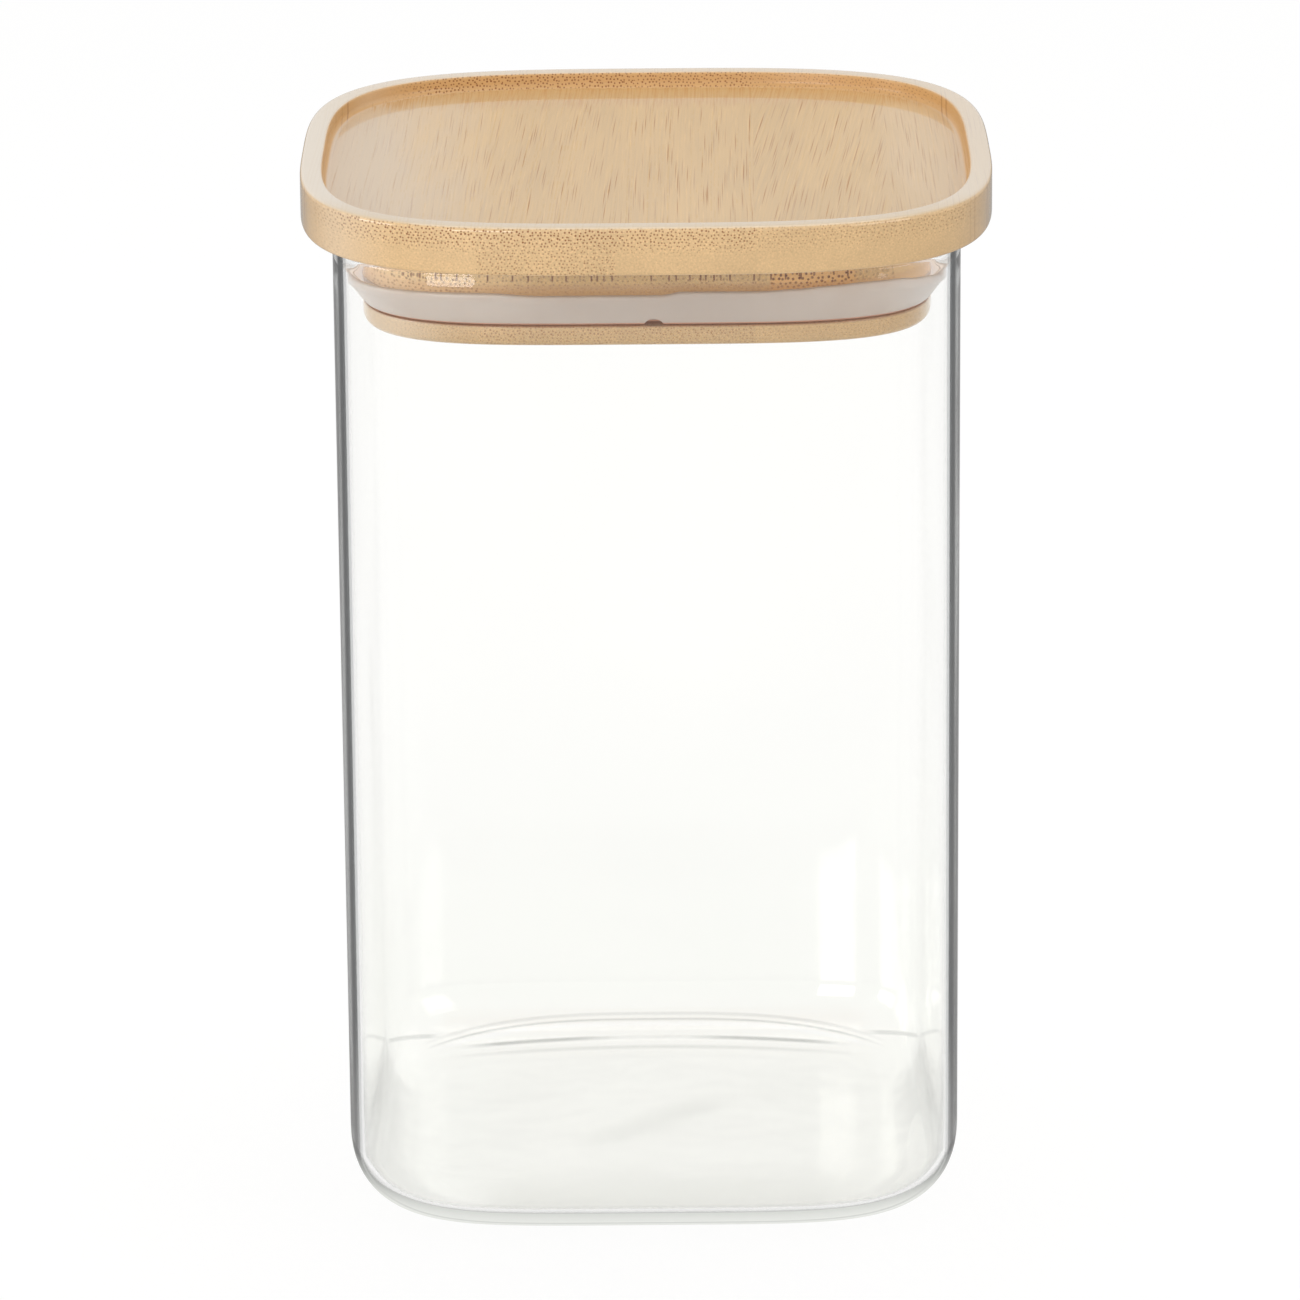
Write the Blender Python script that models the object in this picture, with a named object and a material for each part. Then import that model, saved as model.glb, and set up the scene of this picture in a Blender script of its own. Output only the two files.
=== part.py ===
"""Square glass storage jar with a lift-off bamboo lid and a silicone lip seal.

Every piece is a loft of rounded-square rings. A piece is described by a profile, a list of
(inset, height) pairs: the inset is measured squarely inward from a rounded-square outline,
so walls, roundings and grooves keep their thickness all the way round, corners included.
Units are metres, +Z is up, and the origin is at the centre of the underside of the glass.
"""

import math

import bmesh
import bpy

# Glass body
GLASS_WIDTH = 0.0950  # across the flats, outside
GLASS_HEIGHT = 0.1543  # underside to the top of the rim
GLASS_WALL = 0.00145
GLASS_BASE = 0.0026  # thickness of the floor
GLASS_FOOT_FILLET = 0.0108  # outside, between wall and underside
GLASS_SQUARENESS = 5.05  # superellipse exponent: 2 is a circle, more is squarer

# Lid board
LID_OVERHANG = 0.0050  # beyond the glass, at the middle of each side
LID_SQUARENESS = 3.48
BOARD_THICKNESS = 0.0073
BOARD_TOP_ROUNDING = 0.0007  # outer upper edge
BOARD_BOTTOM_ROUNDING = 0.0006  # outer lower edge
TRAY_RIM_WIDTH = 0.0034
TRAY_DEPTH = 0.0025
TRAY_COVE = 0.0011  # between the tray's wall and its floor
TRAY_EDGE_ROUNDING = 0.0004  # inner upper edge of the rim

# Plug under the board, two plies thick
PLUG_CLEARANCE = 0.0016  # upper ply to the inside of the glass
FLANGE_STEP = 0.0003  # lower ply set in from the upper one, so that the seal slips on from below
PLUG_SQUARENESS = 4.35
PLUG_DEPTH = 0.01265  # below the board's underside
PLUG_FOOT_ROUNDING = 0.0009
LOWER_PLY_THICKNESS = 0.0062

# Groove for the seal
FLANGE_THICKNESS = 0.00305  # plug's foot to the lower side of the groove
GROOVE_HEIGHT = 0.00415
GROOVE_DEPTH = 0.0030  # into the lower ply

# Silicone seal
LIP_RISE = 0.0052  # underside of the ring to the tip of the lip
LIP_FLARE_RISE = 0.0042  # underside of the ring to where the lip first meets the glass
LIP_FLARE_CURVE = 1.25  # 1 is a straight flare, more bellies outward
LIP_THICKNESS = 0.0009
LIP_ROOT_HEIGHT = 0.0022  # underside of the ring to the bottom of the channel behind the lip
NOTCH_RADIUS = 0.00155  # round mould notch in the front of the ring's lower edge
NOTCH_DROP = 0.0006  # centre of the notch below the ring's underside
NOTCH_SIDE_OFFSET = 0.0010  # from the middle of the front
NOTCH_DEPTH = 0.0016  # into the ring, from the flange's face

# Fit
FIT_GAP = 0.0003  # between pieces that touch

# Fineness of the surfaces
OUTLINE_POINTS = 80  # round each ring, a multiple of 8
FILLET_STEPS = 5
ROUNDING_STEPS = 3
FLARE_STEPS = 4
SMOOTH_ANGLE = math.radians(35)

# Places that several pieces share
glass_half = GLASS_WIDTH / 2
board_bottom = GLASS_HEIGHT + FIT_GAP
plug_foot = board_bottom - PLUG_DEPTH
lower_ply_top = plug_foot + LOWER_PLY_THICKNESS
groove_bottom = plug_foot + FLANGE_THICKNESS
groove_top = groove_bottom + GROOVE_HEIGHT


class Outline:
    """A rounded square with gently bowed sides, as a superellipse."""

    def __init__(self, half_width, squareness):
        self.half_width = half_width
        self.squareness = squareness

    def point(self, angle):
        power = 2 / self.squareness
        cosine, sine = math.cos(angle), math.sin(angle)
        x = self.half_width * math.copysign(abs(cosine) ** power, cosine)
        y = self.half_width * math.copysign(abs(sine) ** power, sine)
        return x, y

    def normal(self, angle):
        x, y = self.point(angle)
        power = self.squareness - 1
        nx = math.copysign(abs(x / self.half_width) ** power, x)
        ny = math.copysign(abs(y / self.half_width) ** power, y)
        length = math.hypot(nx, ny)
        return nx / length, ny / length

    def ring(self, inset, height):
        """The outline's points moved squarely inward by the inset, at one height."""
        points = []
        for step in range(OUTLINE_POINTS):
            angle = math.tau * step / OUTLINE_POINTS
            x, y = self.point(angle)
            nx, ny = self.normal(angle)
            points.append((x - nx * inset, y - ny * inset, height))
        return points

    def shrunk(self, amount):
        """A smaller outline of the same shape, so softer at the corners than an inset."""
        return Outline(self.half_width - amount, self.squareness)


GLASS_OUTLINE = Outline(glass_half, GLASS_SQUARENESS)
BOARD_OUTLINE = Outline(glass_half + LID_OVERHANG, LID_SQUARENESS)
PLUG_OUTLINE = Outline(glass_half - GLASS_WALL - PLUG_CLEARANCE, PLUG_SQUARENESS)
FLANGE_OUTLINE = PLUG_OUTLINE.shrunk(FLANGE_STEP)


def arc(inset, height, radius, start, end, steps):
    """Profile points on an arc about (inset, height). 0 degrees points outward, 90 up."""
    points = []
    for step in range(steps + 1):
        angle = math.radians(start + (end - start) * step / steps)
        points.append((inset - radius * math.cos(angle), height + radius * math.sin(angle)))
    return points


def rings_of(outline, profile):
    return [outline.ring(inset, height) for inset, height in profile]


def blend(ring_a, ring_b, share):
    """A ring part of the way from one ring to another."""
    return [
        tuple(a + (b - a) * share for a, b in zip(point_a, point_b))
        for point_a, point_b in zip(ring_a, ring_b)
    ]


def loft(name, rings, closed, base_height):
    """Skins a stack of rings. A closed stack joins its last ring to its first, as a hoop
    does, and an open one is capped flat at both ends. The object's origin is on the jar's
    axis at base_height."""
    mesh = bpy.data.meshes.new(name)
    shape = bmesh.new()
    loops = [[shape.verts.new((x, y, z - base_height)) for x, y, z in ring] for ring in rings]
    pairs = list(zip(loops, loops[1:]))
    if closed:
        pairs.append((loops[-1], loops[0]))
    else:
        shape.faces.new(loops[0])
        shape.faces.new(loops[-1])
    for lower, upper in pairs:
        for step in range(OUTLINE_POINTS):
            after = (step + 1) % OUTLINE_POINTS
            shape.faces.new((lower[step], lower[after], upper[after], upper[step]))
    bmesh.ops.recalc_face_normals(shape, faces=shape.faces)
    shape.to_mesh(mesh)
    shape.free()
    mesh.shade_smooth()
    mesh.set_sharp_from_angle(angle=SMOOTH_ANGLE)
    part = bpy.data.objects.new(name, mesh)
    part.location.z = base_height
    bpy.context.collection.objects.link(part)
    return part


def linear(channel):
    """An 8-bit display value as linear light."""
    value = channel / 255
    if value <= 0.04045:
        return value / 12.92
    return ((value + 0.055) / 1.055) ** 2.4


def give_material(part, name, colour, roughness, transmission=0.0, ior=1.5):
    material = bpy.data.materials.new(name)
    material.use_nodes = True
    shader = material.node_tree.nodes["Principled BSDF"]
    red, green, blue = (linear(channel) for channel in colour)
    shader.inputs["Base Color"].default_value = (red, green, blue, 1)
    shader.inputs["Roughness"].default_value = roughness
    shader.inputs["Metallic"].default_value = 0.0
    shader.inputs["Transmission Weight"].default_value = transmission
    shader.inputs["IOR"].default_value = ior
    part.data.materials.append(material)


def clear_scene():
    for leftover in list(bpy.data.objects):
        bpy.data.objects.remove(leftover, do_unlink=True)


def make_glass_jar():
    """The open vessel: underside, foot fillet and wall outside, a fire-polished rim, then
    the wall, fillet and floor inside. Round the foot the whole outline shrinks, which
    gives the soft corners of moulded glass."""
    foot = GLASS_FOOT_FILLET
    inner_fillet = foot - GLASS_BASE
    rim_radius = GLASS_WALL / 2
    rings = []
    for shrink, height in arc(foot, foot, foot, -90, 0, FILLET_STEPS):
        rings.append(GLASS_OUTLINE.shrunk(shrink).ring(0.0, height))
    rim = arc(rim_radius, GLASS_HEIGHT - rim_radius, rim_radius, 0, 180, 2 * ROUNDING_STEPS)
    rings += rings_of(GLASS_OUTLINE, rim)
    for shrink, height in arc(inner_fillet, foot, inner_fillet, 0, -90, FILLET_STEPS):
        rings.append(GLASS_OUTLINE.shrunk(shrink).ring(GLASS_WALL, height))
    return loft("glass_jar", rings, False, 0.0)


def make_lid_board():
    """The overhanging board, hollowed from above into a tray."""
    top = board_bottom + BOARD_THICKNESS
    floor = top - TRAY_DEPTH
    wall = TRAY_RIM_WIDTH
    lower = BOARD_BOTTOM_ROUNDING
    upper = BOARD_TOP_ROUNDING
    inner = TRAY_EDGE_ROUNDING
    profile = arc(lower, board_bottom + lower, lower, -90, 0, ROUNDING_STEPS)
    profile += arc(upper, top - upper, upper, 0, 90, ROUNDING_STEPS)
    profile += arc(wall - inner, top - inner, inner, 90, 180, ROUNDING_STEPS)
    profile += arc(wall + TRAY_COVE, floor + TRAY_COVE, TRAY_COVE, 0, -90, ROUNDING_STEPS)
    return loft("lid_board", rings_of(BOARD_OUTLINE, profile), False, board_bottom)


def make_plug_upper_ply():
    """The ply under the board, stepped in below the top of the seal groove."""
    bottom = lower_ply_top + FIT_GAP
    core_inset = FLANGE_STEP + GROOVE_DEPTH
    profile = [
        (core_inset, bottom),
        (core_inset, groove_top),
        (0.0, groove_top),
        (0.0, board_bottom - FIT_GAP),
    ]
    return loft("lid_plug_upper_ply", rings_of(PLUG_OUTLINE, profile), False, board_bottom)


def make_plug_lower_ply():
    """The ply at the plug's foot, with the flange that carries the seal."""
    foot = PLUG_FOOT_ROUNDING
    profile = arc(foot, plug_foot + foot, foot, -90, 0, ROUNDING_STEPS)
    profile += [
        (0.0, groove_bottom),
        (GROOVE_DEPTH, groove_bottom),
        (GROOVE_DEPTH, lower_ply_top),
    ]
    return loft("lid_plug_lower_ply", rings_of(FLANGE_OUTLINE, profile), False, board_bottom)


def lip_ring(outset_share, glass_inset, height):
    """A ring of the lip, part of the way from the flange's face to the glass."""
    at_plug = FLANGE_OUTLINE.ring(0.0, height)
    at_glass = GLASS_OUTLINE.ring(GLASS_WALL + glass_inset, height)
    return blend(at_plug, at_glass, outset_share)


def make_seal():
    """A hoop with a web in the plug's groove and a lip that flares up to the glass. The
    plug is rounder in plan than the glass, so the lip reaches further at the corners."""
    bottom = groove_bottom + FIT_GAP
    web_top = groove_top - FIT_GAP
    web_inset = GROOVE_DEPTH - FIT_GAP
    tip_radius = LIP_THICKNESS / 2
    tip_height = bottom + LIP_RISE - tip_radius
    rings = [FLANGE_OUTLINE.ring(web_inset, bottom)]
    for step in range(FLARE_STEPS + 1):
        share = step / FLARE_STEPS
        rise = LIP_FLARE_RISE * share ** LIP_FLARE_CURVE
        rings.append(lip_ring(share, FIT_GAP, bottom + rise))
    for inset, height in arc(tip_radius, tip_height, tip_radius, 0, 180, 2 * ROUNDING_STEPS):
        rings.append(lip_ring(1.0, FIT_GAP + inset, height))
    channel = LIP_FLARE_RISE + LIP_THICKNESS - LIP_ROOT_HEIGHT
    for step in range(1, FLARE_STEPS + 1):
        share = 1 - step / FLARE_STEPS
        rise = LIP_ROOT_HEIGHT + channel * share ** LIP_FLARE_CURVE
        rings.append(lip_ring(share, FIT_GAP + LIP_THICKNESS, bottom + rise))
    rings.append(FLANGE_OUTLINE.ring(0.0, web_top))
    rings.append(FLANGE_OUTLINE.ring(web_inset, web_top))
    seal = loft("lid_seal", rings, True, board_bottom)
    cut_notch(seal, bottom)
    return seal


def cut_notch(seal, ring_bottom):
    """The round notch that the mould leaves in the front of the ring's lower edge."""
    reach = PLUG_CLEARANCE + FLANGE_STEP + NOTCH_DEPTH
    front = -FLANGE_OUTLINE.half_width + NOTCH_DEPTH
    bpy.ops.mesh.primitive_cylinder_add(
        vertices=24,
        radius=NOTCH_RADIUS,
        depth=reach,
        location=(NOTCH_SIDE_OFFSET, front - reach / 2, ring_bottom - NOTCH_DROP),
        rotation=(math.pi / 2, 0, 0),
    )
    cutter = bpy.context.object
    cutter.name = "notch_cutter"
    cutter.hide_render = True
    cutter.display_type = "WIRE"
    cut = seal.modifiers.new("mould notch", "BOOLEAN")
    cut.operation = "DIFFERENCE"
    cut.object = cutter


def main():
    clear_scene()
    jar = make_glass_jar()
    board = make_lid_board()
    upper_ply = make_plug_upper_ply()
    lower_ply = make_plug_lower_ply()
    seal = make_seal()

    give_material(jar, "clear_glass", (236, 241, 239), 0.03, transmission=1.0, ior=1.47)
    give_material(board, "bamboo_board", (216, 188, 148), 0.36)
    give_material(upper_ply, "bamboo_upper_ply", (196, 163, 124), 0.42)
    give_material(lower_ply, "bamboo_lower_ply", (207, 178, 136), 0.42)
    give_material(seal, "silicone", (200, 187, 174), 0.38)

    lid = bpy.data.objects.new("lid_lift_axis", None)
    lid.location.z = board_bottom
    bpy.context.collection.objects.link(lid)
    for piece in (board, upper_ply, lower_ply, seal):
        piece.parent = lid
        piece.location.z -= board_bottom


main()
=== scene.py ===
"""Looks for the square glass storage jar with its bamboo lid.

The glass, the boards and the seal are rebuilt here with fine, smooth surfaces in the places of
the plain solids, and every piece has a procedural material. Units are metres, +Z is up, and the
origin is at the centre of the underside of the glass.
"""

import math

import bpy
from mathutils import Matrix, Vector, noise


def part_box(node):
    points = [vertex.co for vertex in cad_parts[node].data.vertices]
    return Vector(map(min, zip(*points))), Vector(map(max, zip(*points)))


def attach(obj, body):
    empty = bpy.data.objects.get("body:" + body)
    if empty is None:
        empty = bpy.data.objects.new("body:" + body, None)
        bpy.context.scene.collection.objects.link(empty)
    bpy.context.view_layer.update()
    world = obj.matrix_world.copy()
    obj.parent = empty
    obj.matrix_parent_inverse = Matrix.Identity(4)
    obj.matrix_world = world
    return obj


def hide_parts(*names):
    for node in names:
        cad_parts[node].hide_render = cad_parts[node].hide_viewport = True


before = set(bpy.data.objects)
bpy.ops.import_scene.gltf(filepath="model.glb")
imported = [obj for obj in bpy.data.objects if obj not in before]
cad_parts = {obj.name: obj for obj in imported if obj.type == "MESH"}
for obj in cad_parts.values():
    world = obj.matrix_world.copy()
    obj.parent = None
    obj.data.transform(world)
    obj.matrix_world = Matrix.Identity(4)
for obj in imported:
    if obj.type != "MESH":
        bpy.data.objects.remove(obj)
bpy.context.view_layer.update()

MM = 0.001

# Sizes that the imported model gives
_, glass_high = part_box("glass_jar")
board_low, board_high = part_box("lid_board")
upper_low, upper_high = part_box("lid_plug_upper_ply")
lower_low, lower_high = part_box("lid_plug_lower_ply")
seal_low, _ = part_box("lid_seal")

GLASS_HALF = glass_high.x
GLASS_TOP = glass_high.z
BOARD_HALF = board_high.x
BOARD_BOTTOM = board_low.z
BOARD_TOP = board_high.z
NECK_HALF = upper_high.x
FLANGE_HALF = lower_high.x
PLUG_FOOT = lower_low.z
PLUG_TOP = upper_high.z
PLY_JOINT_LOW = lower_high.z
PLY_JOINT_HIGH = upper_low.z
RING_BOTTOM = seal_low.z

# Sizes of the glass
GLASS_WALL = 1.45 * MM
GLASS_BASE = 2.6 * MM
GLASS_SQUARENESS = 5.05
FOOT_FILLET = 10.8 * MM
RIM_SWELL = 0.3 * MM
RIM_HEIGHT = 3.2 * MM
WALL_WAVE = 0.05 * MM
WALL_WAVE_FADE = 20 * MM
FLOOR_SWELL = 0.12 * MM

# Sizes of the board
BOARD_SQUARENESS = 3.48
BOARD_LOWER_EDGE = 0.6 * MM
BOARD_UPPER_EDGE = 0.7 * MM
TRAY_DEPTH = 2.5 * MM
TRAY_RIM = 3.4 * MM
TRAY_RIM_EDGE = 0.4 * MM
TRAY_COVE = 1.1 * MM
TRAY_FLOOR = BOARD_TOP - TRAY_DEPTH

# Sizes of the plug and its groove
PLUG_SQUARENESS = 4.35
PLY_EDGE = 0.15 * MM
FLANGE_EDGE = 0.9 * MM
GROOVE_BOTTOM = PLUG_FOOT + 3.05 * MM
GROOVE_TOP = GROOVE_BOTTOM + 4.15 * MM
GROOVE_DEPTH = 3.0 * MM

# Sizes of the silicone ring
RING_GAP = 0.3 * MM
RING_TOP = GROOVE_TOP - RING_GAP
LIP_RISE = 5.2 * MM
LIP_FLARE_RISE = 4.2 * MM
LIP_THICKNESS = 0.9 * MM
LIP_ROOT_HEIGHT = 2.2 * MM
LIP_GAP = 0.06 * MM
LIP_CURVE = 1.25
LIP_FOLLOW = 0.8
NOTCH_RADIUS = 1.55 * MM
NOTCH_LENGTH = 3.8 * MM
NOTCH_X = 1.0 * MM

# Points round each outline, and steps to measure its length by
POINTS = 288
OUTLINE_STEPS = 4096


# Shapes
def outline(half, squareness, count=POINTS):
    """Points evenly spaced along a superellipse, each with its outward normal."""
    power = 2 / squareness
    dense = []
    for i in range(OUTLINE_STEPS + 1):
        angle = math.tau * i / OUTLINE_STEPS
        c, s = math.cos(angle), math.sin(angle)
        dense.append((half * math.copysign(abs(c) ** power, c), half * math.copysign(abs(s) ** power, s)))
    lengths = [0.0]
    for a, b in zip(dense, dense[1:]):
        lengths.append(lengths[-1] + math.dist(a, b))
    points, j = [], 0
    for k in range(count):
        target = lengths[-1] * k / count
        while lengths[j + 1] < target:
            j += 1
        t = (target - lengths[j]) / (lengths[j + 1] - lengths[j])
        x = dense[j][0] + (dense[j + 1][0] - dense[j][0]) * t
        y = dense[j][1] + (dense[j + 1][1] - dense[j][1]) * t
        nx = math.copysign(abs(x / half) ** (squareness - 1), x)
        ny = math.copysign(abs(y / half) ** (squareness - 1), y)
        n = math.hypot(nx, ny)
        points.append((x, y, nx / n, ny / n))
    return points


GLASS = outline(GLASS_HALF, GLASS_SQUARENESS)
BOARD = outline(BOARD_HALF, BOARD_SQUARENESS)
NECK = outline(NECK_HALF, PLUG_SQUARENESS)
FLANGE = outline(FLANGE_HALF, PLUG_SQUARENESS)


def inset_ring(base, inset, z, shrink=0.0, half=1.0):
    """The outline moved squarely inward by inset, or drawn smaller by shrink, at height z."""
    k = (half - shrink) / half
    return [Vector((x * k - nx * inset, y * k - ny * inset, z)) for x, y, nx, ny in base]


def arc(inset, z, radius, start, end, steps):
    """Profile points on an arc about (inset, z). 0 degrees points outward, 90 up."""
    out = []
    for i in range(steps + 1):
        a = math.radians(start + (end - start) * i / steps)
        out.append((inset - radius * math.cos(a), z + radius * math.sin(a)))
    return out


def ease(t):
    """A soft step from 0 to 1."""
    t = min(1.0, max(0.0, t))
    return t * t * (3 - 2 * t)


def skin(name, rings, closed, body, node, sharp=40.0, inner_from=None):
    """A smooth mesh through a stack of rings, riding on a body in a CAD node's place. Faces from
    ring inner_from on take the second material."""
    count = len(rings[0])
    verts = [tuple(p) for ring in rings for p in ring]
    faces = []
    pairs = [(i, i + 1) for i in range(len(rings) - 1)]
    if closed:
        pairs.append((len(rings) - 1, 0))
    for a, b in pairs:
        for i in range(count):
            j = (i + 1) % count
            faces.append((a * count + i, a * count + j, b * count + j, b * count + i))
    if not closed:
        faces.append(tuple(range(count))[::-1])
        top = (len(rings) - 1) * count
        faces.append(tuple(top + i for i in range(count)))
    mesh = bpy.data.meshes.new(name)
    mesh.from_pydata(verts, [], faces)
    mesh.validate()
    if inner_from is not None:
        underside = (len(rings) - 1) * count
        for i, polygon in enumerate(mesh.polygons):
            polygon.material_index = 1 if i // count >= inner_from and i != underside else 0
    mesh.shade_smooth()
    mesh.set_sharp_from_angle(angle=math.radians(sharp))
    piece = bpy.data.objects.new(name, mesh)
    bpy.context.scene.collection.objects.link(piece)
    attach(piece, body)
    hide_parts(node)
    return piece


def make_glass():
    """Outside from the underside's middle up to the rim, then down the inside to the floor's
    middle. The walls wander by a few hundredths of a millimetre, as moulded glass does."""
    rings = []
    wall_rows = 26
    bead_steps = 10
    inner_fillet = FOOT_FILLET - GLASS_BASE
    rim_radius = (GLASS_WALL + RIM_SWELL) / 2
    rim_centre = GLASS_TOP - rim_radius
    bead_bottom = GLASS_TOP - RIM_HEIGHT

    def outside(shrink, z):
        return inset_ring(GLASS, 0.0, z, shrink, GLASS_HALF)

    def inside(shrink, z):
        return inset_ring(GLASS, GLASS_WALL, z, shrink, GLASS_HALF)

    def bead(share, z):
        """The inside of the thicker rim, which thins to a quarter at the corners."""
        ring = []
        for x, y, nx, ny in GLASS:
            flat = ease((max(abs(nx), abs(ny)) - 0.80) / 0.17)
            inset = GLASS_WALL + RIM_SWELL * share * (0.25 + 0.75 * flat)
            ring.append(Vector((x - nx * inset, y - ny * inset, z)))
        return ring

    for share in (0.03, 0.2, 0.4, 0.6, 0.8, 0.92):
        rings.append([Vector((p.x * share, p.y * share, 0.0)) for p in outside(FOOT_FILLET, 0.0)])
    for shrink, z in arc(FOOT_FILLET, FOOT_FILLET, FOOT_FILLET, -90, 0, 18):
        rings.append(outside(shrink, z))
    for i in range(1, wall_rows):
        rings.append(outside(0.0, FOOT_FILLET + (rim_centre - FOOT_FILLET) * i / wall_rows))
    for inset, z in arc(rim_radius, rim_centre, rim_radius, 0, 180, 14):
        share = inset / (2 * rim_radius)
        rings.append([a.lerp(b, share) for a, b in zip(outside(0.0, z), bead(1.0, z))])
    inner_from = len(rings) - 1
    for i in range(1, bead_steps):
        z = rim_centre + (rim_radius - RIM_HEIGHT) * i / bead_steps
        rings.append(bead(1 - ease(i / bead_steps), z))
    for i in range(wall_rows, 0, -1):
        z = FOOT_FILLET + (bead_bottom - FOOT_FILLET) * i / wall_rows
        ring = inside(0.0, z)
        fade = ease((z - FOOT_FILLET) / WALL_WAVE_FADE) * ease((bead_bottom - z) / WALL_WAVE_FADE)
        for p, (_, _, nx, ny) in zip(ring, GLASS):
            wave = noise.noise(p * 28.0 + Vector((3.1, 0.7, 9.2))) * WALL_WAVE * fade
            p.x += nx * wave
            p.y += ny * wave
        rings.append(ring)
    for shrink, z in arc(inner_fillet, FOOT_FILLET, inner_fillet, 0, -90, 18):
        rings.append(inside(shrink, z))
    edge = rings[-1]
    for share in (0.93, 0.84, 0.74, 0.64, 0.54, 0.44, 0.34, 0.24, 0.14, 0.03):
        ring = []
        for p in edge:
            x, y = p.x * share, p.y * share
            swell = noise.noise(Vector((x * 45 + 1.7, y * 30 - x * 20, 4.0)))
            ring.append(Vector((x, y, GLASS_BASE + swell * FLOOR_SWELL * ease((1 - share) / 0.3))))
        rings.append(ring)
    return skin("glass_body", rings, False, "jar", "glass_jar", 60, inner_from)


def make_board():
    """Up the outside, over the rim and down into the tray."""
    profile = arc(BOARD_LOWER_EDGE, BOARD_BOTTOM + BOARD_LOWER_EDGE, BOARD_LOWER_EDGE, -90, 0, 8)
    profile += arc(BOARD_UPPER_EDGE, BOARD_TOP - BOARD_UPPER_EDGE, BOARD_UPPER_EDGE, 0, 90, 9)
    profile += arc(TRAY_RIM - TRAY_RIM_EDGE, BOARD_TOP - TRAY_RIM_EDGE, TRAY_RIM_EDGE, 90, 180, 7)
    profile += arc(TRAY_RIM + TRAY_COVE, TRAY_FLOOR + TRAY_COVE, TRAY_COVE, 0, -90, 9)
    rings = [inset_ring(BOARD, inset, z) for inset, z in profile]
    return skin("bamboo_board", rings, False, "lid", "lid_board")


def make_upper_ply():
    """The neck, which is the groove's upper wall, and its core down to the joint of the plies."""
    core = NECK_HALF - FLANGE_HALF + GROOVE_DEPTH
    profile = [(core, PLY_JOINT_HIGH), (core, GROOVE_TOP)]
    profile += arc(PLY_EDGE, GROOVE_TOP + PLY_EDGE, PLY_EDGE, -90, 0, 3)
    profile += [(0.0, PLUG_TOP)]
    rings = [inset_ring(NECK, inset, z) for inset, z in profile]
    return skin("bamboo_upper_ply", rings, False, "lid", "lid_plug_upper_ply")


def make_lower_ply():
    """The flange, which is the groove's lower wall, and its core up to the joint of the plies."""
    profile = arc(FLANGE_EDGE, PLUG_FOOT + FLANGE_EDGE, FLANGE_EDGE, -90, 0, 8)
    profile += arc(PLY_EDGE, GROOVE_BOTTOM - PLY_EDGE, PLY_EDGE, 0, 90, 3)
    profile += [(GROOVE_DEPTH, GROOVE_BOTTOM), (GROOVE_DEPTH, PLY_JOINT_LOW)]
    rings = [inset_ring(FLANGE, inset, z) for inset, z in profile]
    return skin("bamboo_lower_ply", rings, False, "lid", "lid_plug_lower_ply")


# How far the lip's tip stands off its level along the front, from left to right, both in mm
LIP_LEVEL = (
    (-34, 0.0), (-24, 0.0), (-16, -0.44), (2.6, -0.46), (4.8, 0.03), (17, 0.0),
    (22, 0.25), (27, 0.62), (33, 0.98), (38, 0.98), (42, 0.5), (45, 0.0))


def lip_level(x):
    x /= MM
    for (x_a, level_a), (x_b, level_b) in zip(LIP_LEVEL, LIP_LEVEL[1:]):
        if x_a <= x < x_b:
            return (level_a + (level_b - level_a) * ease((x - x_a) / (x_b - x_a))) * MM
    return 0.0


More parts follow.
